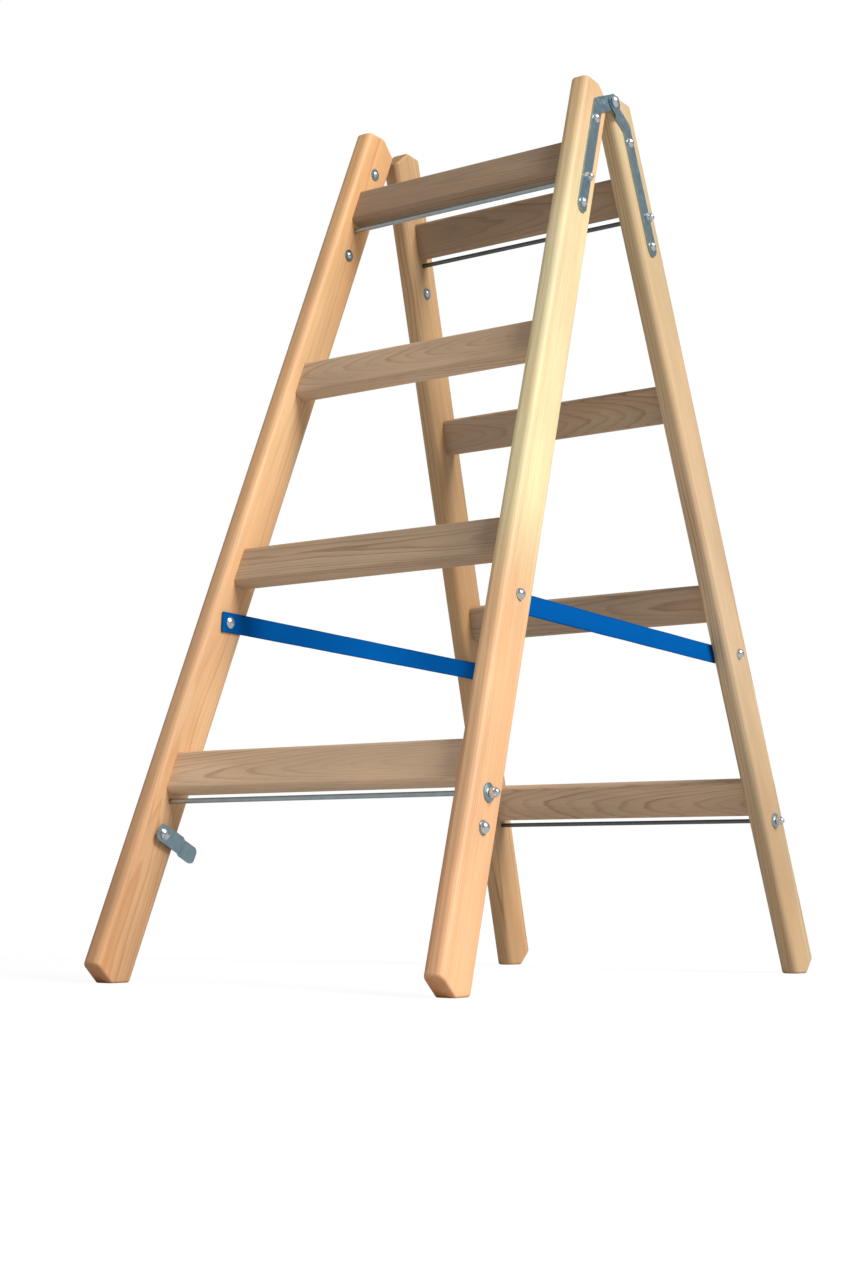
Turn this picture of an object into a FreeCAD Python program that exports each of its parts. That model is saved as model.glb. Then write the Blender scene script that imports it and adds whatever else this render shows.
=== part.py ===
import FreeCAD, Part
import math
import os

import Sketcher

# A two-sided wooden step ladder, standing open.  Two rung frames lean together and turn on a
# pair of steel hinges at the top.  Millimetres and degrees.  The origin is on the floor, in the
# middle of the four feet.  +X runs along the rungs, -Y is the front frame's side, +Z is up.
#
# Each frame is drawn in a plane of its own: x along the rungs, y through the depth of the
# stiles and positive towards the other frame, z up the lean.  Each stile has a third set of
# axes, turned in by the taper, with x through its width.  The front frame is drawn with its
# right stile and the rear frame with its left one, and the opposite stile is the mirror image.

SIZES = [
    ("lean_angle", 20.5, "lean of each frame from upright"),
    ("taper_angle", 3.0, "how far each stile leans in towards the top"),
    ("stile_width", 26.0, "stile, across its narrow face"),
    ("stile_depth", 63.0, "stile, across its wide face"),
    ("stile_round", 9.0, "rounding of the stile's long edges"),
    ("stile_blank", 1340.0, "stile before its ends are cut"),
    ("blank_below", 60.0, "how far the blank starts below the floor"),
    ("foot_half_width", 234.0, "middle plane to the stile's axis, at the floor"),
    ("top_height", 1150.5, "level of the cut tops"),
    ("pivot_height", 1134.0, "hinge axis above the floor"),
    ("pivot_gap", 0.5, "hinge axis to each stile's inner edge"),
    ("corner_cut", 34.0, "width of the cut taken off the two sharp stile corners"),
    ("corner_slope", 48.0, "slope of that cut from upright"),
    ("end_round", 3.5, "rounding of the edges at the stile's ends"),
    ("rung_tall", 51.0, "rung, up the lean"),
    ("rung_deep", 22.0, "rung, through the frame"),
    ("rung_round", 5.0, "rounding of the rung's long edges"),
    ("rung_setback", 2.7, "rung's middle, out from the stile's middle"),
    ("rung_first", 260.0, "lowest rung's middle, up the lean"),
    ("rung_pitch", 280.0, "rung to rung, up the lean"),
    ("top_rung_rise", 3.0, "extra rise of the top rung"),
    ("socket_depth", 15.0, "how far a rung enters the stile"),
    ("glue_gap", 0.1, "gap round a rung's end in its socket"),
    ("rod_radius", 3.0, "tie rod and bolt shank"),
    ("rod_hole", 3.4, "hole for a tie rod or a bolt"),
    ("rod_low", 225.5, "lower tie rod, up the lean"),
    ("rod_high", 1069.0, "upper tie rod, up the lean"),
    ("cup_radius", 10.5, "cup washer under a lower tie rod's nut"),
    ("cup_thick", 1.6, "its flat thickness"),
    ("cup_rise", 2.4, "its dome"),
    ("nut_radius", 6.3, "hexagon nut, centre to corner"),
    ("nut_tall", 5.0, "hexagon nut without its dome"),
    ("nut_dome", 5.0, "radius of the nut's dome"),
    ("nut_bore", 3.05, "threaded bore of a nut, as a plain hole"),
    ("nut_bore_deep", 8.0, "depth of that bore"),
    ("plate_width", 20.0, "hinge plate strip"),
    ("plate_thick", 2.5, "hinge plate steel"),
    ("plate_offset", 2.0, "hinge plate strip, in from the stile's middle"),
    ("plate_bottom", 1028.0, "centre of the plate's lower end, up the stile"),
    ("front_bend", 1193.0, "where the front plate turns to the hinge axis, up the stile"),
    ("rear_bend", 1189.0, "where the rear plate turns to the hinge axis, up the stile"),
    ("front_step", 0.9, "how far the front plate's eye stands off the wood"),
    ("rear_step", 4.2, "how far the rear plate's eye stands off the wood"),
    ("eye_flat", 13.0, "flat stretch between a plate's eye and its step"),
    ("step_run", 8.0, "length of the sloping step"),
    ("pivot_radius", 4.0, "hinge rivet shank"),
    ("pivot_bore", 4.08, "hole for it in the rear plate"),
    ("pivot_head", 8.0, "hinge rivet head"),
    ("pivot_head_tall", 4.5, "its dome"),
    ("pivot_seat", 0.8, "play under that head, which is square to the hinge axis"),
    ("rivet_high", 1170.0, "upper plate rivet, up the stile"),
    ("rivet_low", 1031.5, "lower plate rivet, up the stile"),
    ("rivet_head", 6.5, "plate rivet head"),
    ("rivet_head_tall", 4.4, "its dome"),
    ("rivet_tail", 4.4, "clenched end of a plate rivet"),
    ("rivet_tail_tall", 2.2, "its dome"),
    ("washer_radius", 8.0, "flat washer"),
    ("washer_thick", 1.2, "flat washer steel"),
    ("spreader_along", 466.6, "spreader bolts, up the stile"),
    ("strap_width", 25.0, "webbing strap"),
    ("strap_thick", 1.6, "webbing strap"),
    ("strap_tail", 14.0, "strap beyond its bolt"),
    ("strap_corner", 2.5, "rounding of the strap's corners"),
    ("strap_stand", 1.0, "strap off the stile's inner face"),
    ("bolt_head", 7.4, "mushroom head of a bolt"),
    ("bolt_head_tall", 3.6, "its dome"),
    ("cap_radius", 7.0, "round cap nut"),
    ("cap_tall", 5.0, "its dome"),
    ("seat_gap", 0.35, "play between a head and what it holds"),
    ("hook_along", 185.0, "hook bolts, up the stile"),
    ("hook_width", 21.0, "transport hook, flat bar"),
    ("hook_thick", 2.5, "flat bar steel"),
    ("hook_reach", 66.0, "hook's bolt to its tip"),
    ("hook_flat", 31.0, "hook's bolt to its step"),
    ("hook_run", 9.0, "length of the sloping step"),
    ("hook_step", 5.0, "how far the tip is set back towards the stile"),
    ("hook_round", 7.0, "rounding of the hook's corners"),
    ("hook_stand", 0.6, "hook's tip off the plane of the stile's inner face"),
    ("spacer_thick", 5.0, "ring between the hook and the stile"),
    ("hook_bore", 3.08, "hole for the hook's bolt"),
    ("hook_droop", 3.0, "hook below square to the stile, at rest"),
]

doc = FreeCAD.newDocument("StepLadder")
sheet = doc.addObject("Spreadsheet::Sheet", "Sizes")
for row, (alias, value, note) in enumerate(SIZES, 1):
    sheet.set(f"A{row}", note)
    sheet.set(f"B{row}", str(value))
    sheet.setAlias(f"B{row}", alias)
doc.recompute()

V = FreeCAD.Vector
X_AXIS, Y_AXIS, Z_AXIS = V(1, 0, 0), V(0, 1, 0), V(0, 0, 1)
RUNGS = 4
WIDE = 900.0  # any tool that has to pass through both stiles


def size(alias):
    """The value in a cell of the sheet."""
    return float(sheet.get(alias))


def cell(alias):
    """The same cell, as text for an expression."""
    return f"Sizes.{alias}"


def turn(axis, degrees):
    return FreeCAD.Placement(V(), FreeCAD.Rotation(axis, degrees))


def shift(x=0.0, y=0.0, z=0.0):
    return FreeCAD.Placement(V(x, y, z), FreeCAD.Rotation())


LEAN = math.radians(size("lean_angle"))
TAPER = math.radians(size("taper_angle"))
HALF_WIDTH = size("stile_width") / 2
HALF_DEPTH = size("stile_depth") / 2
PIVOT_DEEP = HALF_DEPTH + size("pivot_gap")
PIVOT_ALONG = (size("pivot_height") + PIVOT_DEEP * math.sin(LEAN)) / math.cos(LEAN)
FOOT_OUT = PIVOT_ALONG * math.sin(LEAN) + PIVOT_DEEP * math.cos(LEAN)

FRONT = shift(y=-FOOT_OUT) * turn(X_AXIS, -size("lean_angle"))
FRAMES = {"front": FRONT, "rear": turn(Z_AXIS, 180) * FRONT}
DRAWN_SIDE = {"front": "right", "rear": "left"}
OPPOSITE = {"right": "left", "left": "right"}
IN_STILE = shift(x=size("foot_half_width")) * turn(Y_AXIS, -size("taper_angle"))
FACE_OUT = turn(Y_AXIS, 90)  # a tool drawn up +Z then points out along +X
FACE_IN = turn(Y_AXIS, -90)

parts = {}


def face_x(along, across):
    """Frame x of the stile at a height up the lean; across is 0 on its axis."""
    return size("foot_half_width") + across / math.cos(TAPER) - along * math.tan(TAPER)


def add(kind, name, place=None, **bound):
    """A Part object whose properties are bound to the expressions given."""
    obj = doc.addObject(kind, name)
    for key, text in bound.items():
        obj.setExpression(key, text)
    if place is not None:
        obj.Placement = place
    return obj


def fused(name, shapes):
    obj = doc.addObject("Part::MultiFuse", name)
    obj.Shapes = shapes
    return obj


def cut(name, base, tool):
    obj = doc.addObject("Part::Cut", name)
    obj.Base = base
    obj.Tool = tool
    return obj


def common(name, base, tool):
    obj = doc.addObject("Part::Common", name)
    obj.Base = base
    obj.Tool = tool
    return obj


def mirrored(name, source):
    """The same piece on the other side of the ladder's middle plane."""
    obj = doc.addObject("Part::Mirroring", name)
    obj.Source = source
    obj.Base = V()
    obj.Normal = X_AXIS
    return obj


def group(name, pieces):
    """Identical loose pieces kept together as one part of separate solids."""
    obj = doc.addObject("Part::Compound", name)
    obj.Links = pieces
    keep(name, obj)


def keep(name, obj):
    obj.Label = name
    parts[name] = obj


def keep_pair(frame, name, drawn):
    """Keep a piece of a frame's drawn side, and its mirror image."""
    side = DRAWN_SIDE[frame]
    keep(f"{frame}_{side}_{name}", drawn)
    twin = f"{frame}_{OPPOSITE[side]}_{name}"
    keep(twin, mirrored(twin + "_image", drawn))


def both_sides(pieces):
    return pieces + [mirrored(piece.Name + "_image", piece) for piece in pieces]


def new_sketch(body, name, plane):
    sketch = body.newObject("Sketcher::SketchObject", name)
    origin = [f for f in body.Origin.OriginFeatures if f.Role == plane][0]
    sketch.AttachmentSupport = [(origin, "")]
    sketch.MapMode = "FlatFace"
    return sketch


def dimension(sketch, constraint, name, text):
    """Add a dimension to a sketch and bind it to an expression."""
    index = sketch.addConstraint(constraint)
    sketch.renameConstraint(index, name)
    sketch.setExpression(f"Constraints.{name}", text)


def rounded_rectangle(sketch, wide, tall, radius, text_wide, text_tall, text_radius):
    """A rectangle about the sketch's origin, with four equal round corners."""
    x, y = wide / 2 - radius, tall / 2 - radius
    ends = [
        (V(-x, -y - radius), V(x, -y - radius)),
        (V(x + radius, -y), V(x + radius, y)),
        (V(x, y + radius), V(-x, y + radius)),
        (V(-x - radius, y), V(-x - radius, -y)),
    ]
    lines = [sketch.addGeometry(Part.LineSegment(a, b)) for a, b in ends]
    arcs = []
    for number, (cx, cy) in enumerate([(x, -y), (x, y), (-x, y), (-x, -y)]):
        circle = Part.Circle(V(cx, cy), Z_AXIS, radius)
        start = (number - 1) * math.pi / 2
        arcs.append(sketch.addGeometry(Part.ArcOfCircle(circle, start, start + math.pi / 2)))
    for number in range(4):
        after = lines[(number + 1) % 4]
        sketch.addConstraint(Sketcher.Constraint("Tangent", lines[number], 2, arcs[number], 1))
        sketch.addConstraint(Sketcher.Constraint("Tangent", arcs[number], 2, after, 1))
    sketch.addConstraint(Sketcher.Constraint("Horizontal", lines[0]))
    sketch.addConstraint(Sketcher.Constraint("Vertical", lines[1]))
    sketch.addConstraint(Sketcher.Constraint("Horizontal", lines[2]))
    for arc in arcs[1:3]:
        sketch.addConstraint(Sketcher.Constraint("Equal", arcs[0], arc))
    sketch.addConstraint(Sketcher.Constraint("Symmetric", arcs[0], 3, arcs[2], 3, -1, 1))
    dimension(
        sketch,
        Sketcher.Constraint("DistanceX", lines[3], 1, lines[1], 2, wide),
        "wide",
        text_wide,
    )
    dimension(
        sketch,
        Sketcher.Constraint("DistanceY", lines[0], 1, lines[2], 2, tall),
        "tall",
        text_tall,
    )
    dimension(sketch, Sketcher.Constraint("Radius", arcs[0], radius), "corner", text_radius)


def polygon(sketch, corners):
    """A closed outline of straight lines.  Each corner is a pair of (alias, factor) lists,
    both sums at or above zero, and is dimensioned from the sketch's origin."""
    points = [V(*(sum(size(a) * f for a, f in terms) for terms in corner)) for corner in corners]
    count = len(points)
    for number in range(count):
        sketch.addGeometry(Part.LineSegment(points[number], points[(number + 1) % count]))
    for number in range(count):
        after = (number + 1) % count
        sketch.addConstraint(Sketcher.Constraint("Coincident", number, 2, after, 1))
    for number, corner in enumerate(corners):
        for axis, terms, value in zip("XY", corner, points[number]):
            if terms:
                text = " + ".join(f"{cell(a)} * {f}" for a, f in terms)
                rule = Sketcher.Constraint("Distance" + axis, -1, 1, number, 1, value)
                dimension(sketch, rule, f"corner_{number}_{axis}", text)
            else:
                line = -2 if axis == "X" else -1
                sketch.addConstraint(Sketcher.Constraint("PointOnObject", number, 1, line))


def pad(body, sketch, text, middle=False):
    feature = body.newObject("PartDesign::Pad", sketch.Name + "_pad")
    feature.Profile = sketch
    feature.setExpression("Length", text)
    feature.Midplane = middle
    body.Tip = feature
    return feature


def rung_blank(name, frame, number, text_gap):
    """A rung's bar, with a gap added all round it when it is to cut its own sockets."""
    body = doc.addObject("PartDesign::Body", name)
    sketch = new_sketch(body, name + "_section", "YZ_Plane")
    extra = size("glue_gap") if text_gap else 0.0
    text_extra = f" + 2 * {cell('glue_gap')}" if text_gap else ""
    rounded_rectangle(
        sketch,
        size("rung_deep") + 2 * extra,
        size("rung_tall") + 2 * extra,
        size("rung_round"),
        cell("rung_deep") + text_extra,
        cell("rung_tall") + text_extra,
        cell("rung_round"),
    )
    rise = number // (RUNGS - 1)
    along = f"({cell('rung_first')} + {number} * {cell('rung_pitch')} + {rise} * {cell('top_rung_rise')})"
    half = (
        f"{cell('foot_half_width')} - {along} * tan({cell('taper_angle')} * 1 deg)"
        f" - {cell('stile_width')} / 2 + {cell('socket_depth')}"
    )
    pad(body, sketch, f"2 * ({half}){text_extra}", middle=True)
    height = size("rung_first") + number * size("rung_pitch") + rise * size("top_rung_rise")
    body.Placement = FRAMES[frame] * shift(y=-size("rung_setback"), z=height)
    return body


def hole(name, place, alias):
    """A round tool along +Z of its place, long enough for both stiles."""
    tool = add("Part::Cylinder", name, place * shift(z=-WIDE / 2), Radius=cell(alias))
    tool.Height = WIDE
    return tool


def in_frame(frame, along, deep=0.0, across=0.0):
    """A place in a frame, with +Z pointing out along the rungs."""
    return FRAMES[frame] * shift(across, deep, along) * FACE_OUT


def in_stile(frame, along, deep=0.0, across=0.0):
    """A place in the drawn stile, with +Z square to its wide face and pointing out."""
    return FRAMES[frame] * IN_STILE * shift(across, deep, along) * FACE_OUT


def rung_frame_holes(frame):
    """Every hole through a frame's drawn stile."""
    tools = [
        hole(f"{frame}_rod_hole_low", in_frame(frame, size("rod_low")), "rod_hole"),
        hole(f"{frame}_rod_hole_high", in_frame(frame, size("rod_high")), "rod_hole"),
        hole(f"{frame}_spreader_hole", in_stile(frame, size("spreader_along")), "rod_hole"),
    ]
    for level in ("rivet_high", "rivet_low"):
        place = in_stile(frame, size(level), size("plate_offset"))
        tools.append(hole(f"{frame}_{level}_hole", place, "rod_hole"))
    if frame == "front":
        place = in_stile(frame, size("hook_along"))
        tools.append(hole("front_hook_hole", place, "rod_hole"))
    return tools


def corner_tools(frame):
    """Boxes that take off the stile's two sharp corners: outer at the foot, inner at the top."""
    back = FRAMES[frame] * FRONT.inverse()
    foot = -FOOT_OUT - HALF_DEPTH / math.cos(LEAN) + size("corner_cut")
    rise = size("top_height") * math.tan(LEAN)
    top = -FOOT_OUT + HALF_DEPTH / math.cos(LEAN) + rise - size("corner_cut")
    slope = size("corner_slope")
    tools = []
    for name, y, z, angle in (
        ("foot", foot, 0.0, 90 + slope),
        ("top", top, size("top_height"), slope - 90),
    ):
        place = back * shift(0, y, z) * turn(X_AXIS, angle) * shift(-WIDE / 2, -WIDE / 4, 0)
        box = add("Part::Box", f"{frame}_{name}_corner", place)
        box.Length = WIDE
        box.Width = WIDE / 2
        box.Height = 4 * size("corner_cut")
        tools.append(box)
    return tools


def end_edges(frame, shape):
    """The stile's edges that run across it at its ends, each with the rounding's radius.
    The long edges, which follow the stile's own axis, are left out."""
    along = (FRAMES[frame] * IN_STILE).Rotation.multVec(Z_AXIS)
    radius = size("end_round")
    found = []
    for number, edge in enumerate(shape.Edges, 1):
        first, last = edge.Vertexes[0].Point, edge.Vertexes[-1].Point
        if abs((last - first).normalize().dot(along)) < 0.999:
            found.append((number, radius, radius))
    return found


def make_stiles(frame, sockets):
    """A frame's two stiles: a rounded bar, cut level at both ends, socketed and drilled."""
    bar = doc.addObject("PartDesign::Body", f"{frame}_stile_bar")
    sketch = new_sketch(bar, f"{frame}_stile_section", "XY_Plane")
    rounded_rectangle(
        sketch,
        size("stile_width"),
        size("stile_depth"),
        size("stile_round"),
        cell("stile_width"),
        cell("stile_depth"),
        cell("stile_round"),
    )
    pad(bar, sketch, cell("stile_blank"))
    bar.Placement = FRAMES[frame] * IN_STILE * shift(z=-size("blank_below"))
    level = add(
        "Part::Box",
        f"{frame}_level_cuts",
        shift(-WIDE, -WIDE, 0),
        Height=cell("top_height"),
    )
    level.Length = 2 * WIDE
    level.Width = 2 * WIDE
    levelled = common(f"{frame}_stile_levelled", bar, level)
    corners = fused(f"{frame}_stile_corners", corner_tools(frame))
    shaped = cut(f"{frame}_stile_shaped", levelled, corners)
    doc.recompute()
    softened = doc.addObject("Part::Fillet", f"{frame}_stile_softened")
    softened.Base = shaped
    softened.Edges = end_edges(frame, shaped.Shape)
    tools = rung_frame_holes(frame) + sockets
    stile = cut(f"{frame}_stile_cut", softened, fused(f"{frame}_stile_tools", tools))
    keep_pair(frame, "stile", stile)


def make_rungs(frame):
    sockets = []
    for number in range(RUNGS):
        name = f"{frame}_rung_{number + 1}"
        keep(name, rung_blank(name + "_bar", frame, number, False))
        sockets.append(rung_blank(name + "_socket", frame, number, True))
    return sockets


def domed(name, place, radius, rise, skirt):
    """A round head on the place's XY plane: a short skirt under a shallow dome."""
    body = doc.addObject("PartDesign::Body", name)
    sketch = new_sketch(body, name + "_profile", "XZ_Plane")
    r, h, e = size(radius), size(rise), skirt
    dome = (r * r + h * h) / (2 * h)
    low = V(0, e + h - dome)
    lines = [(V(0, e + h), V(0, 0)), (V(0, 0), V(r, 0)), (V(r, 0), V(r, e))]
    for start, end in lines:
        sketch.addGeometry(Part.LineSegment(start, end))
    side = math.atan2(e - low.y, r)
    circle = Part.Circle(low, Z_AXIS, dome)
    sketch.addGeometry(Part.ArcOfCircle(circle, side, math.pi / 2))
    rules = [
        ("Coincident", 0, 2, 1, 1),
        ("Coincident", 1, 2, 2, 1),
        ("Coincident", 2, 2, 3, 1),
        ("Coincident", 3, 2, 0, 1),
        ("Coincident", 0, 2, -1, 1),
        ("Vertical", 0),
        ("Horizontal", 1),
        ("Vertical", 2),
        ("PointOnObject", 3, 3, -2),
    ]
    for rule in rules:
        sketch.addConstraint(Sketcher.Constraint(*rule))
    dimension(sketch, Sketcher.Constraint("DistanceX", 1, 1, 1, 2, r), "radius", cell(radius))
    sketch.addConstraint(Sketcher.Constraint("DistanceY", 2, 1, 2, 2, e))
    rise_rule = Sketcher.Constraint("DistanceY", 2, 2, 3, 2, h)
    dimension(sketch, rise_rule, "rise", cell(rise))
    spin = body.newObject("PartDesign::Revolution", name + "_turned")
    spin.Profile = sketch
    spin.ReferenceAxis = (sketch, ["V_Axis"])
    spin.Angle = 360
    body.Tip = spin
    body.Placement = place
    return body


def shank(name, place, length, alias="rod_radius"):
    """A plain pin from the place's origin along its +Z."""
    pin = add("Part::Cylinder", name, place, Radius=cell(alias))
    pin.Height = length
    return pin


def washer(name, place, radius, thick, bore):
    """A flat ring on the place's XY plane."""
    disc = add("Part::Cylinder", name + "_disc", place, Radius=cell(radius), Height=cell(thick))
    return cut(name, disc, hole(name + "_bore", place, bore))


def acorn_nut(name, place):
    """A hexagon nut with a domed, closed end, its open face on the place's XY plane."""
    hexagon = add(
        "Part::Prism",
        name + "_hexagon",
        place,
        Circumradius=cell("nut_radius"),
        Height=cell("nut_tall"),
    )
    hexagon.Polygon = 6
    top = place * shift(z=size("nut_tall"))
    dome = add("Part::Sphere", name + "_dome", top, Radius=cell("nut_dome"))
    bore = add(
        "Part::Cylinder",
        name + "_bore",
        place,
        Radius=cell("nut_bore"),
        Height=cell("nut_bore_deep"),
    )
    return cut(name, fused(name + "_body", [hexagon, dome]), bore)


def make_tie_rods(frame):
    """Two steel rods across the frame, under its lowest and highest rungs, with their nuts."""
    nuts = []
    stack = {
        "rod_low": size("cup_thick") + size("cup_rise"),
        "rod_high": size("plate_thick") + size("seat_gap"),
    }
    names = {"rod_low": "lower", "rod_high": "upper"}
    for level, under_nut in stack.items():
        along = size(level)
        seat = face_x(along, HALF_WIDTH) + under_nut
        reach = seat + size("nut_bore_deep") - size("seat_gap")
        rod = shank(f"{frame}_{level}", in_frame(frame, along, 0, -reach), 2 * reach)
        keep(f"{frame}_{names[level]}_tie_rod", rod)
        nuts.append(acorn_nut(f"{frame}_{level}_nut", in_frame(frame, along, 0, seat)))
    group(f"{frame}_tie_rod_nuts", both_sides(nuts))

    place = in_frame(frame, size("rod_low"), 0, face_x(size("rod_low"), HALF_WIDTH))
    square = place * turn(Y_AXIS, -size("taper_angle"))
    cup = domed(f"{frame}_cup_dome", square, "cup_radius", "cup_rise", size("cup_thick"))
    bored = cut(f"{frame}_cup", cup, hole(f"{frame}_cup_bore", place, "rod_hole"))
    flat = shift(z=size("cup_thick") + size("cup_rise") - size("seat_gap") - 0.05)
    slab = add("Part::Box", f"{frame}_cup_slab", place * flat * shift(-50, -50, 0))
    slab.Length = 100
    slab.Width = 100
    slab.Height = 20
    group(f"{frame}_cup_washers", both_sides([cut(f"{frame}_cup_seated", bored, slab)]))


def plate_strip(name, frame, step):
    """The strip of a hinge plate that turns from the stile to the hinge axis, seen edge on:
    flat on the wood, a slope of the height given by step, then flat again to the eye."""
    body = doc.addObject("PartDesign::Body", name)
    sketch = new_sketch(body, name + "_edge", "XZ_Plane")
    thick = ("plate_thick", 1)
    rise = (step, 1)
    flat = [("eye_flat", 1)]
    slope = [("eye_flat", 1), ("step_run", 1)]
    tail = [("plate_width", 3)]
    corners = [
        ([], [rise]),
        (flat, [rise]),
        (slope, []),
        (tail, []),
        (tail, [thick]),
        (slope, [thick]),
        (flat, [rise, thick]),
        ([], [rise, thick]),
    ]
    polygon(sketch, corners)
    pad(body, sketch, cell("plate_width"), middle=True)
    return body


def make_hinge_plates(frame):
    """A flat steel strip down the stile's outer face, turned at its top to the hinge axis."""
    step = f"{frame}_step"
    half = size("plate_width") / 2
    face = IN_STILE * shift(HALF_WIDTH)
    level = (PIVOT_ALONG - HALF_WIDTH * math.sin(TAPER)) / math.cos(TAPER)
    bend = V(0, size("plate_offset"), size(f"{frame}_bend"))
    eye = V(0, PIVOT_DEEP, level)
    leg = eye - bend
    lean = math.degrees(math.atan2(leg.y, leg.z))

    strip = add(
        "Part::Box",
        f"{frame}_plate_strip",
        FRAMES[frame] * face * shift(0, size("plate_offset") - half, size("plate_bottom")),
        Length=cell("plate_thick"),
        Width=cell("plate_width"),
        Height=f"{cell(f'{frame}_bend')} - {cell('plate_bottom')}",
    )
    rounds = []
    end = V(0, size("plate_offset"), size("plate_bottom"))
    for name, point, out in (("end", end, 0.0), ("turn", bend, 0.0), ("eye", eye, size(step))):
        disc = add(
            "Part::Cylinder",
            f"{frame}_plate_{name}",
            FRAMES[frame] * face * shift(out, point.y, point.z) * FACE_OUT,
            Radius=f"{cell('plate_width')} / 2",
            Height=cell("plate_thick"),
        )
        rounds.append(disc)
    # The turned strip is drawn from the eye down towards the bend, its width across the leg.
    stretch = plate_strip(f"{frame}_plate_leg", frame, step)
    down = shift(0, eye.y, eye.z) * turn(X_AXIS, -lean) * turn(Y_AXIS, 90)
    stretch.Placement = FRAMES[frame] * face * down
    limit = add(
        "Part::Box",
        f"{frame}_plate_limit",
        FRAMES[frame] * face * shift(0, bend.y, bend.z) * turn(X_AXIS, -lean) * shift(-5, -50, 0),
    )
    limit.Length = 20
    limit.Width = 100
    limit.Height = 100
    trimmed = common(f"{frame}_plate_leg_cut", stretch, limit)
    whole = fused(f"{frame}_plate_whole", [strip, trimmed] + rounds)

    pivot = in_frame(frame, PIVOT_ALONG, PIVOT_DEEP)
    bore = "pivot_radius" if frame == "front" else "pivot_bore"
    tools = [
        hole(f"{frame}_plate_pivot_hole", pivot, bore),
        hole(f"{frame}_plate_rod_hole", in_frame(frame, size("rod_high")), "rod_hole"),
    ]
    for rivet in ("rivet_high", "rivet_low"):
        place = in_stile(frame, size(rivet), size("plate_offset"))
        tools.append(hole(f"{frame}_plate_{rivet}", place, "rod_hole"))
    plate = cut(f"{frame}_plate", whole, fused(f"{frame}_plate_tools", tools))
    keep_pair(frame, "hinge_plate", plate)


def make_plate_rivets(frame):
    """Two rivets through each hinge plate and its stile, clenched over washers inside."""
    rivets = []
    washers = []
    outer = HALF_WIDTH + size("plate_thick")
    inner = HALF_WIDTH + size("washer_thick")
    for level in ("rivet_high", "rivet_low"):
        name = f"{frame}_{level}"
        along, deep = size(level), size("plate_offset")
        start = in_stile(frame, along, deep, -inner)
        pin = shank(name + "_pin", start, outer + inner)
        head_place = in_stile(frame, along, deep, outer)
        head = domed(name + "_head", head_place, "rivet_head", "rivet_head_tall", 0.6)
        tail_place = start * turn(Y_AXIS, 180)
        tail = domed(name + "_tail", tail_place, "rivet_tail", "rivet_tail_tall", 0.4)
        rivets.append(fused(name, [pin, head, tail]))
        washers.append(washer(name + "_washer", start, "washer_radius", "washer_thick", "rod_hole"))
    group(f"{frame}_hinge_rivets", both_sides(rivets))
    group(f"{frame}_hinge_rivet_washers", both_sides(washers))


def make_spreader_bolts(frame):
    """A mushroom-headed bolt through each stile: head inside on the strap, cap nut outside."""
    along = size("spreader_along")
    inner = HALF_WIDTH + size("strap_stand") + size("strap_thick") + size("seat_gap")
    outer = HALF_WIDTH + size("seat_gap")
    start = in_stile(frame, along, 0, -inner)
    length = inner + HALF_WIDTH + size("cap_tall")
    pin = shank(f"{frame}_spreader_pin", start, length)
    under = start * turn(Y_AXIS, 180)
    head = domed(f"{frame}_spreader_head", under, "bolt_head", "bolt_head_tall", 0.8)
    bolt = fused(f"{frame}_spreader_bolt", [pin, head])
    group(f"{frame}_spreader_bolts", both_sides([bolt]))
    seat = in_stile(frame, along, 0, outer)
    cap = domed(f"{frame}_spreader_cap", seat, "cap_radius", "cap_tall", 1.5)
    bore = add("Part::Cylinder", f"{frame}_spreader_cap_bore", seat, Radius=cell("nut_bore"))
    bore.Height = size("cap_tall")
    nut = cut(f"{frame}_spreader_nut", cap, bore)
    group(f"{frame}_spreader_nuts", both_sides([nut]))


def make_straps():
    """A webbing strap on each side, from the front spreader bolt to the rear one."""
    along = size("spreader_along")
    face = -HALF_WIDTH - size("strap_stand")
    bolt = (FRONT * IN_STILE).multVec(V(face, 0, along))
    body = doc.addObject("PartDesign::Body", "strap_web")
    sketch = new_sketch(body, "strap_outline", "YZ_Plane")
    reach = -bolt.y + size("strap_tail")
    rounded_rectangle(
        sketch,
        2 * reach,
        size("strap_width"),
        size("strap_corner"),
        f"2 * ({-bolt.y} + {cell('strap_tail')})",
        cell("strap_width"),
        cell("strap_corner"),
    )
    pad(body, sketch, cell("strap_thick"))
    tilt = math.degrees(math.atan(math.tan(TAPER) * math.cos(LEAN)))
    lie = shift(bolt.x, 0, bolt.z) * turn(Y_AXIS, -tilt)
    body.Placement = lie * shift(-size("strap_thick"))
    # The strap is drawn on the ladder's right, which is the rear frame's mirrored side.
    rear_bolt = in_stile("rear", along)
    rear_hole = mirrored("strap_rear_hole_image", hole("strap_rear_hole", rear_bolt, "rod_hole"))
    tools = [hole("strap_front_hole", in_stile("front", along), "rod_hole"), rear_hole]
    strap = cut("strap", body, fused("strap_holes", tools))
    keep("right_spreader_strap", strap)
    keep("left_spreader_strap", mirrored("strap_image", strap))


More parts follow.
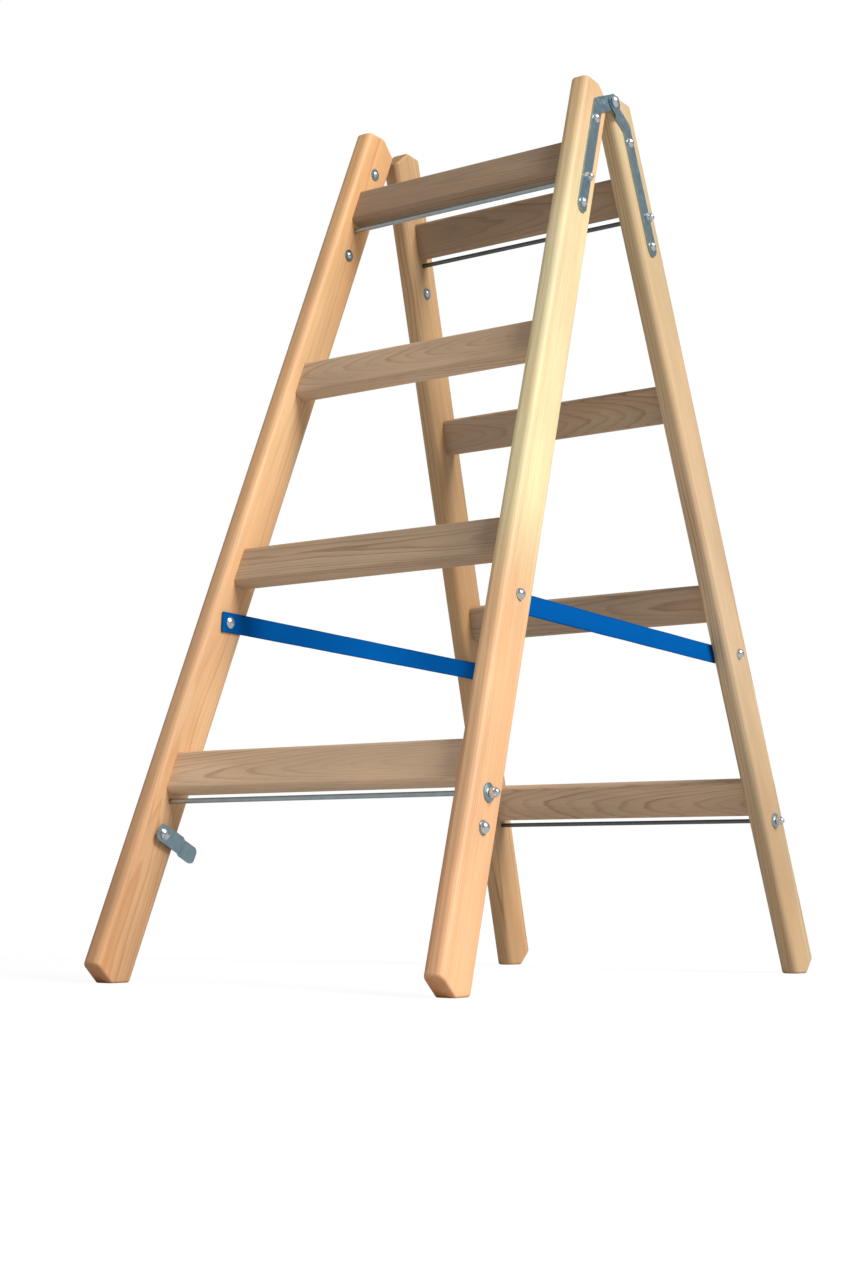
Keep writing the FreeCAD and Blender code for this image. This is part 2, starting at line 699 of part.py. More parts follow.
def make_hooks():
    """A flat bar on the inside of each front stile, held off it by a spacer ring, with its
    tip stepped back towards the stile."""
    strip = doc.addObject("PartDesign::Body", "hook_strip")
    sketch = new_sketch(strip, "hook_edge", "XZ_Plane")
    thick = ("hook_thick", 1)
    rise = ("hook_step", 1)
    lead = ("hook_width", 0.5)
    flat = [lead, ("hook_flat", 1)]
    slope = [lead, ("hook_flat", 1), ("hook_run", 1)]
    tip = [lead, ("hook_reach", 1)]
    corners = [
        ([], [rise]),
        (flat, [rise]),
        (slope, []),
        (tip, []),
        (tip, [thick]),
        (slope, [thick]),
        (flat, [rise, thick]),
        ([], [rise, thick]),
    ]
    polygon(sketch, corners)
    pad(strip, sketch, cell("hook_width"), middle=True)
    # Local +X runs from the bolt to the tip, and local +Z away from the stile's inner face.
    droop = turn(X_AXIS, -size("hook_droop"))
    seat = IN_STILE * shift(-HALF_WIDTH - size("hook_stand"), 0, size("hook_along"))
    lay = FRONT * seat * droop * turn(Z_AXIS, 90) * turn(X_AXIS, -90)
    strip.Placement = lay * shift(-size("hook_width") / 2)
    outline = doc.addObject("PartDesign::Body", "hook_outline")
    plan = new_sketch(outline, "hook_plan", "XY_Plane")
    long = size("hook_reach") + size("hook_width") / 2
    rounded_rectangle(
        plan,
        long,
        size("hook_width"),
        size("hook_round"),
        f"{cell('hook_reach')} + {cell('hook_width')} / 2",
        cell("hook_width"),
        cell("hook_round"),
    )
    pad(outline, plan, f"{cell('hook_step')} + {cell('hook_thick')}")
    outline.Placement = lay * shift(long / 2 - size("hook_width") / 2)
    shaped = common("hook_shaped", strip, outline)
    bolt_place = in_stile("front", size("hook_along"))
    hook = cut("hook", shaped, hole("hook_bolt_hole", bolt_place, "hook_bore"))
    keep("right_transport_hook", hook)
    keep("left_transport_hook", mirrored("hook_image", hook))

    ring_place = in_stile("front", size("hook_along"), 0, -HALF_WIDTH - size("spacer_thick"))
    ring = washer("hook_spacer", ring_place, "washer_radius", "spacer_thick", "rod_hole")
    group("hook_spacers", both_sides([ring]))
    held = size("hook_stand") + size("hook_step") + size("hook_thick")
    inner = HALF_WIDTH + held + size("seat_gap")
    outer = HALF_WIDTH + size("washer_thick")
    start = in_stile("front", size("hook_along"), 0, -inner)
    length = inner + outer + size("cap_tall")
    pin = shank("hook_bolt_pin", start, length)
    head = domed("hook_bolt_head", start * turn(Y_AXIS, 180), "bolt_head", "bolt_head_tall", 0.8)
    group("hook_bolts", both_sides([fused("hook_bolt", [pin, head])]))
    face = in_stile("front", size("hook_along"), 0, HALF_WIDTH)
    flat_ring = washer("hook_washer", face, "washer_radius", "washer_thick", "rod_hole")
    group("hook_bolt_washers", both_sides([flat_ring]))
    seat = in_stile("front", size("hook_along"), 0, outer)
    cap = domed("hook_cap", seat, "cap_radius", "cap_tall", 1.5)
    bore = add("Part::Cylinder", "hook_cap_bore", seat, Radius=cell("nut_bore"))
    bore.Height = size("cap_tall") + 0.1
    group("hook_bolt_nuts", both_sides([cut("hook_nut", cap, bore)]))


def make_pivots():
    """The two hinge rivets, on one axis across the top of the ladder."""
    face = face_x(PIVOT_ALONG, HALF_WIDTH)
    start = face + size("front_step") + 0.4
    head_at = face + size("rear_step") + size("plate_thick") + size("pivot_seat")
    pin = shank("pivot_pin", in_frame("front", PIVOT_ALONG, PIVOT_DEEP, start), head_at - start)
    pin.setExpression("Radius", cell("pivot_radius"))
    place = in_frame("front", PIVOT_ALONG, PIVOT_DEEP, head_at)
    head = domed("pivot_cap", place, "pivot_head", "pivot_head_tall", 1.0)
    rivet = fused("pivot_rivet", [pin, head])
    keep("right_pivot_rivet", rivet)
    keep("left_pivot_rivet", mirrored("pivot_rivet_image", rivet))


for frame_name in FRAMES:
    make_stiles(frame_name, make_rungs(frame_name))
    make_tie_rods(frame_name)
    make_hinge_plates(frame_name)
    make_plate_rivets(frame_name)
    make_spreader_bolts(frame_name)
make_straps()
make_hooks()
make_pivots()
doc.recompute()

failed = [o.Name for o in doc.Objects if "Invalid" in o.State or "Error" in o.State]
if failed:
    raise RuntimeError(f"these objects failed: {failed}")
for name, obj in parts.items():
    if obj.Shape.isNull() or not obj.Shape.isValid() or not obj.Shape.Solids:
        raise RuntimeError(f"{name} has no valid shape")

os.makedirs("parts", exist_ok=True)
for name, obj in parts.items():
    obj.Shape.exportStep(f"parts/{name}.step")
    box = obj.Shape.BoundBox
    print(
        f"{name:32s} solids {len(obj.Shape.Solids)} volume {obj.Shape.Volume:10.1f}"
        f"  x {box.XMin:8.1f} {box.XMax:8.1f}  y {box.YMin:8.1f} {box.YMax:8.1f}"
        f"  z {box.ZMin:7.1f} {box.ZMax:7.1f}"
    )
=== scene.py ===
"""The looks of a two-sided wooden step ladder, built round its CAD frame.

Metres and radians.  +X runs along the rungs, -Y is the front frame's side, +Z is up.  The stiles,
rungs and steelwork are the CAD's own pieces with procedural materials.  The spreader straps are
woven here, because the CAD only holds flat bands for them."""

import itertools
import math
import random

import bmesh
import bpy
from mathutils import Matrix, Vector

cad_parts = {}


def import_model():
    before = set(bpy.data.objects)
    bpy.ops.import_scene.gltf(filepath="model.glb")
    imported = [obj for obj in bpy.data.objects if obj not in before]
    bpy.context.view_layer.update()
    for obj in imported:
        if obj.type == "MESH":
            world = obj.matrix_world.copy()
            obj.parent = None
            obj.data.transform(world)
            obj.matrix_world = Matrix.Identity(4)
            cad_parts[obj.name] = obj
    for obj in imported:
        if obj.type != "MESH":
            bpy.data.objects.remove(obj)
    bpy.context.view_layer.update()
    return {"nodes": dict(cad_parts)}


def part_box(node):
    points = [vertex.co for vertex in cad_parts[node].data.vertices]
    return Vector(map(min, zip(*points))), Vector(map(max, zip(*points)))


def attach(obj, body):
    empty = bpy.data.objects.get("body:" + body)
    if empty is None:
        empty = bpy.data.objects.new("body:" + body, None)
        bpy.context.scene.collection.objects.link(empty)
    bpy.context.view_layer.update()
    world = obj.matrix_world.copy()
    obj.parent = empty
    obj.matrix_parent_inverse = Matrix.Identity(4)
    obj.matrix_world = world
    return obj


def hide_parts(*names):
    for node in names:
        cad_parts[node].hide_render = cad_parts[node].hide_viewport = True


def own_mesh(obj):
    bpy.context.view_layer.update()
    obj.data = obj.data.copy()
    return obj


MM = 0.001

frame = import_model()
nodes = frame["nodes"]

LEAN = math.radians(20.5)  # each frame, from upright
TAPER = math.radians(3.0)  # each stile, towards the ladder's middle
STILE_REACH = 0.62  # from a stile's middle to just past its ends
RUNG_REACH = 0.2
RUNG_COUNT = 4
SIDES = {"left": -1, "right": 1}
FRAMES = ("front", "rear")


# ---------------------------------------------------------------- shader helpers


def srgb(red, green, blue):
    """A display colour, 0 to 255, as the linear colour that a shader wants."""
    def linear(value):
        value /= 255
        return value / 12.92 if value <= 0.04045 else ((value + 0.055) / 1.055) ** 2.4

    return (linear(red), linear(green), linear(blue), 1.0)


class Shader:
    """A material's node tree, with short ways to add and join nodes."""

    def __init__(self, name):
        self.material = bpy.data.materials.new(name)
        self.material.use_nodes = True
        self.tree = self.material.node_tree
        self.surface = self.tree.nodes["Principled BSDF"]

    def node(self, kind, **settings):
        made = self.tree.nodes.new(kind)
        for key, value in settings.items():
            setattr(made, key, value)
        return made

    def link(self, source, target):
        self.tree.links.new(source, target)

    def feed(self, socket, value):
        """Links a socket, or sets it where value is a plain number or tuple."""
        if isinstance(value, bpy.types.NodeSocket):
            self.link(value, socket)
        elif value is not None:
            socket.default_value = value

    def math(self, operation, first, second=None, third=None, clamp=False):
        made = self.node("ShaderNodeMath", operation=operation, use_clamp=clamp)
        for socket, value in zip(made.inputs, (first, second, third)):
            self.feed(socket, value)
        return made.outputs[0]

    def noise(self, vector, scale, detail=2.0, roughness=0.5):
        made = self.node("ShaderNodeTexNoise")
        self.link(vector, made.inputs["Vector"])
        made.inputs["Scale"].default_value = scale
        made.inputs["Detail"].default_value = detail
        made.inputs["Roughness"].default_value = roughness
        return made.outputs["Fac"]

    def ramp(self, value, stops):
        """A smooth run of colours, from stops of a place and a red, green and blue."""
        made = self.node("ShaderNodeValToRGB")
        made.color_ramp.interpolation = "EASE"
        elements = made.color_ramp.elements
        while len(elements) < len(stops):
            elements.new(0.5)
        for element, (place, colour) in zip(elements, stops):
            element.position = place
            element.color = (*colour, 1.0)
        self.link(value, made.inputs["Fac"])
        return made.outputs["Color"]

    def grey(self, value, low, high, start=0.0, end=1.0, smooth=False):
        """value between start and end, mapped to low and high."""
        made = self.node("ShaderNodeMapRange")
        made.interpolation_type = "SMOOTHSTEP" if smooth else "LINEAR"
        self.feed(made.inputs["Value"], value)
        made.inputs["From Min"].default_value = start
        made.inputs["From Max"].default_value = end
        made.inputs["To Min"].default_value = low
        made.inputs["To Max"].default_value = high
        return made.outputs["Result"]

    def mix(self, factor, first, second, blend="MIX"):
        made = self.node("ShaderNodeMix", data_type="RGBA", blend_type=blend)
        self.feed(made.inputs["Factor"], factor)
        self.feed(made.inputs["A"], first)
        self.feed(made.inputs["B"], second)
        return made.outputs["Result"]

    def shade(self, colour, value):
        """A colour made darker or lighter by a grey value."""
        return self.mix(1.0, colour, self.join(value, value, value), "MULTIPLY")

    def split(self, vector):
        made = self.node("ShaderNodeSeparateXYZ")
        self.link(vector, made.inputs[0])
        return made.outputs

    def join(self, x, y, z):
        made = self.node("ShaderNodeCombineXYZ")
        for socket, value in zip(made.inputs, (x, y, z)):
            self.feed(socket, value)
        return made.outputs[0]

    def spot(self, kind="Object"):
        """The piece's own coordinates, or with "Normal" the way that its surface faces."""
        return self.node("ShaderNodeTexCoord").outputs[kind]

    def local(self, place):
        """The piece's coordinates, seen from a place given as a matrix."""
        made = self.node("ShaderNodeMapping", vector_type="TEXTURE")
        self.link(self.spot(), made.inputs["Vector"])
        made.inputs["Location"].default_value = place.to_translation()
        made.inputs["Rotation"].default_value = place.to_euler("XYZ")
        return made.outputs[0]

    def bump(self, height, distance, strength):
        made = self.node("ShaderNodeBump")
        made.inputs["Strength"].default_value = strength
        made.inputs["Distance"].default_value = distance
        self.link(height, made.inputs["Height"])
        self.link(made.outputs["Normal"], self.surface.inputs["Normal"])

    def finish(self, specular=None, rough=None, metal=None):
        """Sets the surface's constant values."""
        for socket, value in (("Specular IOR Level", specular), ("Roughness", rough), ("Metallic", metal)):
            self.feed(self.surface.inputs[socket], value)


# ---------------------------------------------------------------- places of the wooden pieces


def frame_turn(name):
    """The rotation that stands a frame up: leaned, and turned round for the rear frame."""
    lean = Matrix.Rotation(-LEAN, 4, "X")
    return lean if name == "front" else Matrix.Rotation(math.pi, 4, "Z") @ lean


def stile_place(name, side):
    """A stile's own axes: x through its width, y through its depth, z up its length."""
    low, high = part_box(f"{name}_{side}_stile")
    middle = (low + high) / 2
    own_side = SIDES[side] if name == "front" else -SIDES[side]
    return Matrix.Translation(middle) @ frame_turn(name) @ Matrix.Rotation(-TAPER * own_side, 4, "Y")


def rung_place(name, number):
    """A rung's own axes: x along it, y through the frame, z up the lean."""
    low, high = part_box(f"{name}_rung_{number}")
    return Matrix.Translation((low + high) / 2) @ frame_turn(name)


# ---------------------------------------------------------------- materials


def wood(name, place, lengthwise, palette, seed, light_and_shade_tints, reach, ring, pith, slope, contrast,
         flame=0.0, wander=9 * MM, rough=(0.42, 0.56), pores=0.0):
    """Sawn timber.  Growth rings are cylinders round a pith that lies off the piece, nearly
    along it.  Where they cut a face at a shallow angle they show as long flames.  The piece is
    made darker and lighter from one end to the other by painted light and shade, given from
    -reach to +reach."""
    sh = Shader(name)
    draw = random.Random(seed)
    x, y, z = sh.split(sh.local(place))
    if lengthwise == "X":
        x, y, z = z, y, x
    start = sh.math("ADD", z, draw.uniform(-4, 4))
    stops = [(0.5 + 0.5 * at, colour) for at, colour in light_and_shade_tints]
    # Painted light and shade: the piece made darker or lighter from end to end by the tints given.
    painted_light_and_shade = sh.ramp(sh.grey(z, 0.0, 1.0, -reach, reach), stops)

    def sway(scale):
        """How far the pith wanders to one side, along the piece."""
        at = sh.join(draw.uniform(0, 9), draw.uniform(0, 9), start)
        drift = sh.math("SUBTRACT", sh.noise(at, scale, 1.0), 0.5)
        return sh.math("MULTIPLY", drift, wander * 2.2)

    def drawn_out(share, shift=None):
        """Coordinates stretched along the grain, the more the smaller the share."""
        across_grain = x if shift is None else sh.math("ADD", x, shift)
        return sh.join(across_grain, y, sh.math("MULTIPLY", start, share))

    # How far each spot is from the pith.
    sideways, inwards = sway(2.6), sway(1.7)
    tilt = slope * draw.choice((-1, 1)) * draw.uniform(0.7, 1.3)
    across = sh.math("ADD", sh.math("MULTIPLY_ADD", z, tilt, x), sideways)
    across = sh.math("ADD", across, pith[0] * draw.choice((-1, 1)))
    dive = tilt * 0.6 + flame * draw.choice((-1, 1))
    deep = sh.math("ADD", sh.math("MULTIPLY_ADD", z, dive, y), inwards)
    deep = sh.math("ADD", deep, pith[1])
    squares = [sh.math("MULTIPLY", way, way) for way in (across, deep)]
    radius = sh.math("SQRT", sh.math("ADD", *squares))

    # Growth rings, finely waved: pale early wood that darkens, then ends sharply.
    fine = sh.math("SUBTRACT", sh.noise(drawn_out(0.09), 60.0, 2.0), 0.5)
    years = sh.math("DIVIDE", sh.math("MULTIPLY_ADD", fine, ring * 1.5, radius), ring)
    greys = ((0.0, 0.15), (0.55, 0.28), (0.86, 0.95), (0.93, 0.8), (1.0, 0.15))
    band = sh.ramp(sh.math("FRACT", years), [(at, (grey,) * 3) for at, grey in greys])
    # Each year differs a little in strength.
    whole = sh.join(sh.math("FLOOR", years), draw.uniform(0, 99), 0.0)
    uneven = sh.grey(sh.noise(whole, 0.77, 0.0), 0.35, 1.0, 0.3, 0.7)
    band = sh.math("MULTIPLY", band, uneven)

    # Fine fibres along the grain, broad soft patches, and faint stains.
    fibre = sh.noise(drawn_out(0.02), 900.0, 3.0, 0.6)
    broad = sh.noise(drawn_out(0.12), 22.0, 2.0)
    stain = sh.grey(sh.noise(drawn_out(0.25), 14.0, 2.0), 0.88, 1.08, 0.32, 0.68, smooth=True)

    dark, middle, pale = palette
    tone = sh.math("MULTIPLY", band, contrast, clamp=True)
    colour = sh.mix(tone, pale, dark)
    colour = sh.mix(sh.grey(broad, 0.0, 0.75, 0.32, 0.72, smooth=True), colour, middle)
    colour = sh.shade(colour, sh.math("MULTIPLY", sh.grey(fibre, 0.90, 1.06, 0.25, 0.75), stain))
    if pores:
        pore = sh.grey(sh.noise(drawn_out(0.035), 700.0, 2.0), 0.0, 1.0, 0.58, 0.70)
        shadow = (*[part * 0.45 for part in dark[:3]], 1)
        colour = sh.mix(sh.math("MULTIPLY", pore, pores), colour, shadow)
    # Warm patches, long and soft along the grain.
    warm = sh.noise(drawn_out(0.14, draw.uniform(1, 3)), 24.0, 2.0)
    warm = sh.grey(warm, 0.0, 0.45, 0.46, 0.72, smooth=True)
    colour = sh.mix(warm, colour, (1.0, 0.84, 0.74, 1), "MULTIPLY")
    # Faces across the grain made darker: partly the end grain's own darker tone, partly painted shade for
    # the shade that falls on the cut feet near the floor.
    facing = sh.node("ShaderNodeVectorMath", operation="DOT_PRODUCT")
    sh.link(sh.spot("Normal"), facing.inputs[0])
    facing.inputs[1].default_value = place.col["XYZ".index(lengthwise)].to_3d()
    end_grain_and_shade = sh.grey(sh.math("ABSOLUTE", facing.outputs["Value"]), 0.0, 0.8, 0.45, 0.9, smooth=True)
    colour = sh.mix(end_grain_and_shade, colour, (0.76, 0.66, 0.58, 1), "MULTIPLY")

    # The painted light and shade multiplies the wood's own colour.
    sh.link(sh.mix(1.0, colour, painted_light_and_shade, "MULTIPLY"), sh.surface.inputs["Base Color"])
    sh.link(sh.grey(fibre, rough[0], rough[1], 0.3, 0.7), sh.surface.inputs["Roughness"])
    sh.finish(specular=0.35)
    height = sh.math("ADD", sh.math("MULTIPLY", fibre, 0.6), sh.math("MULTIPLY", band, -0.4))
    sh.bump(height, 0.12 * MM, 0.6)
    return sh.material


def steel(name, colour, rough):
    """Zinc-plated steel: faint cloudy spangle, fine wear in its gloss."""
    sh = Shader(name)
    spot = sh.spot()
    cloud = sh.noise(spot, 130.0, 3.0, 0.6)
    fine = sh.noise(spot, 1500.0, 2.0, 0.6)
    sh.link(sh.shade(colour, sh.grey(cloud, 0.86, 1.06, 0.3, 0.7)), sh.surface.inputs["Base Color"])
    mixed = sh.math("ADD", sh.math("MULTIPLY", cloud, 0.6), sh.math("MULTIPLY", fine, 0.4))
    sh.link(sh.grey(mixed, rough - 0.08, rough + 0.10, 0.3, 0.7), sh.surface.inputs["Roughness"])
    sh.finish(metal=1.0)
    sh.bump(fine, 0.02 * MM, 0.4)
    return sh.material


def webbing(name):
    """Polyester webbing: warp ribs along the strap, weft crossing them, with painted shade in the weave's
    hollows and a painted highlight on its crowns; edges a shade darker.
    """
    ribs, pick_pitch = 26.0, 0.95 * MM
    # deep is painted shade for the weave's hollows, light a painted highlight on its crowns.
    deep, mid, light = srgb(0, 62, 124), srgb(0, 92, 175), srgb(0, 112, 198)
    edge_blue = srgb(0, 60, 112)
    sh = Shader(name)
    u, v, _ = sh.split(sh.node("ShaderNodeUVMap", uv_map="cloth").outputs["UV"])

    def hump(value):
        return sh.math("ABSOLUTE", sh.math("SINE", sh.math("MULTIPLY", value, math.pi)))

    lane = sh.math("MULTIPLY", v, ribs)
    pick = sh.math("DIVIDE", u, pick_pitch)
    odd = sh.math("MULTIPLY", sh.math("FLOOR", lane), 0.5)
    weave = sh.math("MULTIPLY", hump(sh.math("ADD", pick, odd)), hump(lane))
    edge = sh.math("ABSOLUTE", sh.math("SUBTRACT", v, 0.5))
    border = sh.grey(edge, 0.0, 1.0, 0.40, 0.50, smooth=True)
    cloud = sh.noise(sh.spot(), 45.0, 3.0, 0.6)
    # Painted shade and highlight: darker in the weave's hollows, lighter on its crowns.
    colour = sh.mix(sh.grey(weave, 0.0, 1.0, 0.1, 0.8), deep, light)
    colour = sh.mix(sh.grey(cloud, 0.25, 0.65, 0.3, 0.7), colour, mid)
    colour = sh.mix(sh.math("MULTIPLY", border, 0.55), colour, edge_blue)
    sh.link(colour, sh.surface.inputs["Base Color"])
    sh.finish(specular=0.02, rough=0.85)
    sh.bump(weave, 0.35 * MM, 0.8)
    return sh.material


# Dark late wood, the usual tone, and pale early wood.
PINE = (srgb(206, 138, 78), srgb(234, 180, 126), srgb(244, 200, 146))
PINE_STRAW = (srgb(182, 130, 76), srgb(226, 184, 130), srgb(238, 204, 152))
ASH = (srgb(138, 104, 80), srgb(186, 156, 127), srgb(198, 170, 140))

# Each stile's board, and the painted light and shade along it from its foot (-1) to its top (1): darker
# where a stile stands in shade, lighter where the key light falls on it.
STILE_LOOKS = {
    ("front", "left"): dict(
        palette=PINE, slope=0.010, ring=2.6 * MM, pith=(0.05, 0.02), contrast=0.8,
        light_and_shade_tints=[(-1, (0.68, 0.63, 0.65)), (-0.4, (0.90, 0.89, 0.98)), (0.2, (0.84, 0.87, 0.95)),
               (1, (0.85, 0.81, 0.77))]),
    ("front", "right"): dict(
        palette=PINE, slope=0.006, ring=2.8 * MM, pith=(0.03, 0.10), contrast=0.7,
        light_and_shade_tints=[(-1, (0.92, 0.84, 0.93)), (-0.3, (0.96, 0.93, 1.02)),
               (0.0, (1.0, 1.38, 1.63)), (0.4, (1.02, 1.48, 1.86)), (1, (0.89, 0.96, 1.05))]),
    ("rear", "left"): dict(
        palette=PINE_STRAW, slope=0.012, ring=3.0 * MM, pith=(0.05, 0.045), contrast=0.85,
        light_and_shade_tints=[(-1, (0.80, 0.71, 0.70)), (0, (0.67, 0.61, 0.61)), (1, (0.73, 0.69, 0.71))]),
    ("rear", "right"): dict(
        palette=PINE_STRAW, slope=0.010, ring=3.0 * MM, pith=(0.06, 0.04), contrast=0.85,
        light_and_shade_tints=[(-1, (0.70, 0.74, 0.85)), (0, (0.77, 0.81, 1.0)), (1, (0.82, 0.93, 1.08))]),
}
RUNG_LOOKS = dict(palette=ASH, reach=RUNG_REACH, ring=2.8 * MM, pith=(0.004, 0.026), slope=0.02,
                  wander=6 * MM, contrast=0.75, rough=(0.5, 0.64), pores=0.15)
# Painted light and shade: each rung made lighter or darker for how the light falls on it.
RUNG_PAINTED_LIGHT = {
    ("front", 1): 1.40, ("front", 2): 0.98, ("front", 3): 1.20, ("front", 4): 0.72,
    ("rear", 1): 1.20, ("rear", 2): 0.92, ("rear", 3): 0.96, ("rear", 4): 0.74,
}
# How steeply the grain dives through a rung; steeper makes shorter, bolder flames.
USUAL_FLAME = 0.03
RUNG_FLAMES = {("front", 1): 0.04, ("front", 3): 0.075, ("rear", 1): 0.09, ("rear", 3): 0.06}

BRIGHT = steel("bright_zinc", srgb(214, 220, 226), 0.24)
SATIN = steel("satin_zinc", srgb(158, 184, 196), 0.36)
ROD = steel("rod_zinc", srgb(168, 180, 184), 0.34)
# Painted shade: a darker copy of the rod zinc for the rear tie rods, which stand in shade.
SHADED_ROD = steel("rod_zinc_painted_shade", srgb(104, 108, 112), 0.40)
WEBBING = webbing("blue_webbing")

ROUND_HEADED = ("rivets", "rivet", "bolts", "nuts")


def paint(node, material):
    mesh = nodes[node].data
    mesh.materials.clear()
    mesh.materials.append(material)


def smooth(obj, degrees):
    """Rounds the shading of a CAD piece, and keeps its real edges crisp."""
    mesh = obj.data
    mesh.shade_smooth()
    mesh.set_sharp_from_angle(angle=math.radians(degrees))


seeds = itertools.count(18, 7)
for end in FRAMES:
    for side in SIDES:
        name = f"{end}_{side}_stile"
        paint(name, wood(name + "_pine", stile_place(end, side), "Z", seed=next(seeds),
                         reach=STILE_REACH, **STILE_LOOKS[(end, side)]))
    for number in range(1, RUNG_COUNT + 1):
        name = f"{end}_rung_{number}"
        # One painted light-and-shade factor along the whole rung.
        rung_light_and_shade = (RUNG_PAINTED_LIGHT[(end, number)],) * 3
        paint(name, wood(name + "_ash", rung_place(end, number), "X", seed=next(seeds),
                         light_and_shade_tints=[(-1, rung_light_and_shade), (1, rung_light_and_shade)],
                         flame=RUNG_FLAMES.get((end, number), USUAL_FLAME), **RUNG_LOOKS))

for name, node in nodes.items():
    if name.endswith("_tie_rod"):
        # The rear tie rods take the painted-shade copy.
        paint(name, SHADED_ROD if name.startswith("rear") else ROD)
    elif name.endswith(("_hinge_plate", "_transport_hook", "washers")):
        paint(name, SATIN)
    elif name.endswith(ROUND_HEADED):
        paint(name, BRIGHT)
    smooth(node, 50 if name.endswith((*ROUND_HEADED, "cup_washers")) else 30)


# ---------------------------------------------------------------- spreader straps

STRAP_WIDTH, STRAP_THICK = 25 * MM, 1.6 * MM
STRAP_STEPS, STRAP_LANES = 150, 10
STRAP_RIPPLE, STRAP_CUP = 0.35 * MM, 0.3 * MM


def woven_band(name, length, lay, way):
    """A sheet of cloth along Y, faintly rippled and cupped between its ends.  Its UV map runs
    in metres along it and from 0 to 1 across it."""
    mesh = bpy.data.meshes.new(name)
    bm = bmesh.new()
    cloth = bm.loops.layers.uv.new("cloth")
    rows = []
    for i in range(STRAP_STEPS + 1):
        share = i / STRAP_STEPS
        free = math.sin(math.pi * share)
        ripple = STRAP_RIPPLE * math.sin(share * 31 + way) * free
        row = []
        for j in range(STRAP_LANES + 1):
            across = j / STRAP_LANES
            out = ripple + STRAP_CUP * (across * 2 - 1) ** 2 * free
            spot = Vector((-way * out, (share - 0.5) * length, (across - 0.5) * STRAP_WIDTH))
            row.append((bm.verts.new(lay @ spot), (share * length, across)))
        rows.append(row)
    for row, after in zip(rows, rows[1:]):
        for j in range(STRAP_LANES):
            corners = (row[j], after[j], after[j + 1], row[j + 1])
            face = bm.faces.new([vert for vert, _ in corners])
            for loop, (_, uv) in zip(face.loops, corners):
                loop[cloth].uv = uv
    bm.to_mesh(mesh)
    bm.free()
    return mesh


def apply_modifiers(obj):
    """Makes the modifiers' result the object's own mesh."""
    depsgraph = bpy.context.evaluated_depsgraph_get()
    made = bpy.data.meshes.new_from_object(obj.evaluated_get(depsgraph))
    obj.modifiers.clear()
    obj.data = made


def strap(side):
    """A band of webbing from the front spreader bolt to the rear one, carried by the front frame."""
    node = f"{side}_spreader_strap"
    low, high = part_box(node)
    way = SIDES[side]
    middle = (low + high) / 2
    tilt = math.atan(math.tan(TAPER) * math.cos(LEAN))
    lay = Matrix.Translation(middle) @ Matrix.Rotation(-tilt * way, 4, "Y")
    mesh = woven_band(node + "_web", high.y - low.y, lay, way)
    mesh.materials.append(WEBBING)
    obj = bpy.data.objects.new(node + "_woven", mesh)
    bpy.context.scene.collection.objects.link(obj)
    thick = obj.modifiers.new("thickness", "SOLIDIFY")
    thick.thickness = STRAP_THICK
    thick.offset = 0
    soft = obj.modifiers.new("soft edge", "BEVEL")
    soft.width = 0.5 * MM
    soft.segments = 2
    mesh.shade_smooth()
    apply_modifiers(obj)
    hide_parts(node)
    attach(obj, "front_frame")
    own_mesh(obj)


for side in SIDES:
    strap(side)


# ---------------------------------------------------------------- room, lights and camera

FLOOR_HALF = 30.0
FLOOR_GREY = (0.62, 0.62, 0.62, 1)
FLOOR_GLOW, FLOOR_GLOW_SHARE = 1.08, 0.86  # as the camera sees it
AMBIENT = 0.34
AMBIENT_TINT = (0.93, 0.97, 1.0, 1)


def place_in_scene(name, data):
    obj = bpy.data.objects.new(name, data)
    bpy.context.scene.collection.objects.link(obj)
    return obj


def floor():
    """A pale floor that glows to white for the camera and still takes a faint shadow."""
    mesh = bpy.data.meshes.new("floor")
    half = FLOOR_HALF
    corners = [(-half, -half, 0), (half, -half, 0), (half, half, 0), (-half, half, 0)]
    mesh.from_pydata(corners, [], [(0, 1, 2, 3)])
    obj = place_in_scene("floor", mesh)
    sh = Shader("pale_floor")
    sh.surface.inputs["Base Color"].default_value = FLOOR_GREY
    sh.finish(specular=0.1, rough=0.9)
    seen = sh.node("ShaderNodeLightPath").outputs["Is Camera Ray"]
    glow = sh.node("ShaderNodeEmission")
    glow.inputs["Strength"].default_value = FLOOR_GLOW
    choose = sh.node("ShaderNodeMixShader")
    sh.feed(choose.inputs[0], sh.math("MULTIPLY", seen, FLOOR_GLOW_SHARE))
    sh.link(sh.surface.outputs[0], choose.inputs[1])
    sh.link(glow.outputs[0], choose.inputs[2])
    sh.link(choose.outputs[0], sh.tree.nodes["Material Output"].inputs["Surface"])
    mesh.materials.append(sh.material)


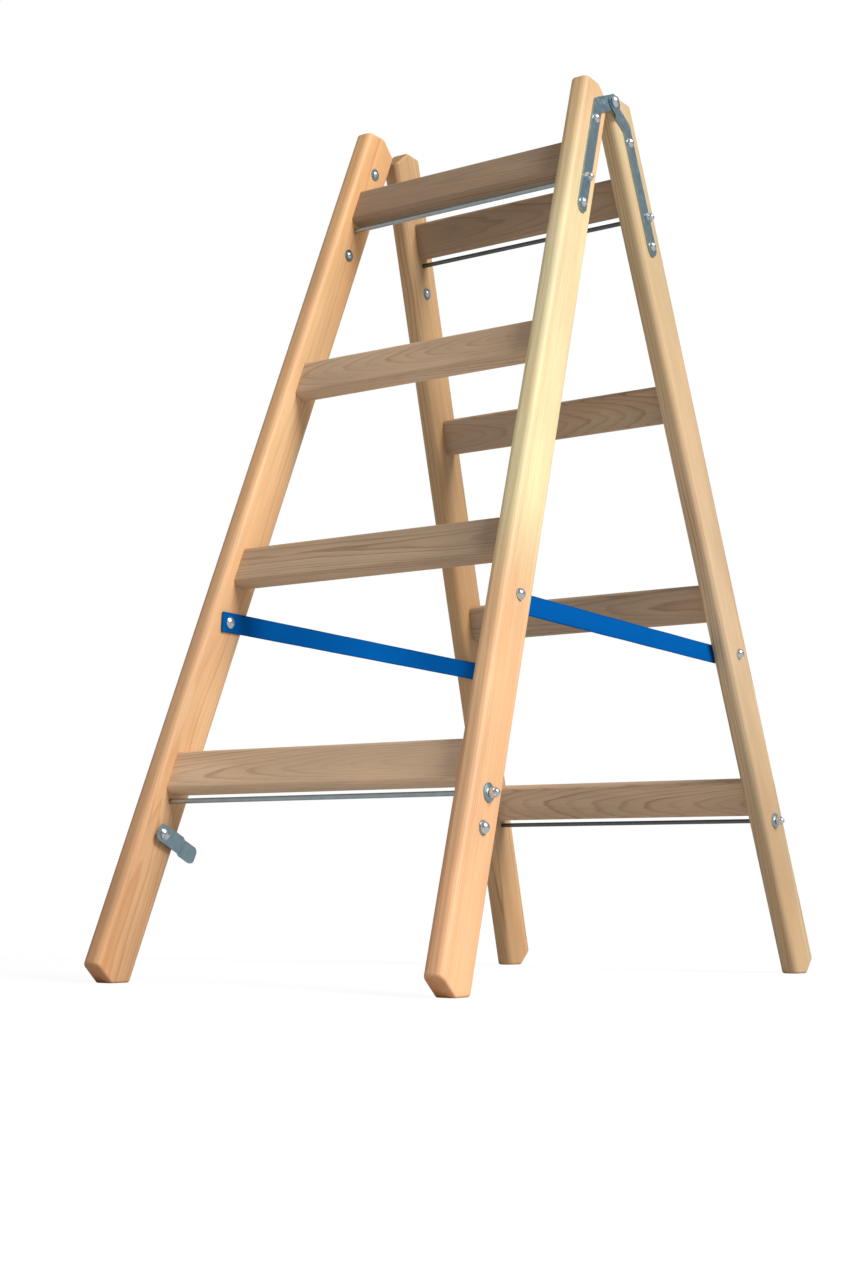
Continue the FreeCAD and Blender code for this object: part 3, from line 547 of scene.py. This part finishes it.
def world():
    """Soft light from all round, with a white backdrop for the camera."""
    room = bpy.data.worlds.new("studio")
    room.use_nodes = True
    tree = room.node_tree
    light = tree.nodes["Background"]
    light.inputs["Color"].default_value = AMBIENT_TINT
    light.inputs["Strength"].default_value = AMBIENT
    backdrop = tree.nodes.new("ShaderNodeBackground")
    backdrop.inputs["Color"].default_value = (1.0, 1.0, 1.0, 1)
    ray = tree.nodes.new("ShaderNodeLightPath")
    choose = tree.nodes.new("ShaderNodeMixShader")
    tree.links.new(ray.outputs["Is Camera Ray"], choose.inputs[0])
    tree.links.new(light.outputs[0], choose.inputs[1])
    tree.links.new(backdrop.outputs[0], choose.inputs[2])
    tree.links.new(choose.outputs[0], tree.nodes["World Output"].inputs["Surface"])
    bpy.context.scene.world = room


def lamp(name, kind, shine_from, shine_to, energy, colour, **settings):
    """A light of the given kind, pointed from one place to another."""
    data = bpy.data.lights.new(name, kind)
    data.energy = energy
    data.color = colour
    for key, value in settings.items():
        setattr(data, key, value)
    obj = place_in_scene(name, data)
    obj.location = shine_from
    obj.rotation_mode = "QUATERNION"
    obj.rotation_quaternion = (Vector(shine_to) - Vector(shine_from)).to_track_quat("-Z", "Y")


def towards(azimuth, elevation):
    """The direction of a spot in the sky.  Azimuth 0 is +X and 90 is +Y, in degrees."""
    a, e = math.radians(azimuth), math.radians(elevation)
    return Vector((math.cos(a) * math.cos(e), math.sin(a) * math.cos(e), math.sin(e)))


def camera():
    """A lens near the floor, to the ladder's front right, looking slightly up."""
    place = Vector((1277.3, -2061.3, 98.9)) * MM
    yaw, pitch, roll = (math.radians(a) for a in (33.716, 7.908, 0.510))
    data = bpy.data.cameras.new("camera")
    data.sensor_fit = "VERTICAL"
    data.sensor_height = 36.0
    data.lens = 52.4346
    data.clip_start, data.clip_end = 0.05, 200
    obj = place_in_scene("camera", data)
    forward = Vector((-math.sin(yaw) * math.cos(pitch), math.cos(yaw) * math.cos(pitch), math.sin(pitch)))
    right = Vector((math.cos(yaw), math.sin(yaw), 0))
    up = right.cross(forward)
    rolled_right = right * math.cos(roll) + up * math.sin(roll)
    rolled_up = up * math.cos(roll) - right * math.sin(roll)
    turn = Matrix((rolled_right, rolled_up, -forward)).transposed().to_4x4()
    obj.matrix_world = Matrix.Translation(place) @ turn
    bpy.context.scene.camera = obj


floor()
world()
lamp("key", "SUN", towards(-2, 38), (0, 0, 0), 3.5, (1.0, 0.985, 0.95), angle=math.radians(28))
lamp("fill", "AREA", (-2.6, -4.2, 2.4), (0, 0, 0.5), 10, (0.96, 0.98, 1.0),
     shape="RECTANGLE", size=2.4, size_y=2.4)
camera()
bpy.context.scene.view_settings.view_transform = "Standard"
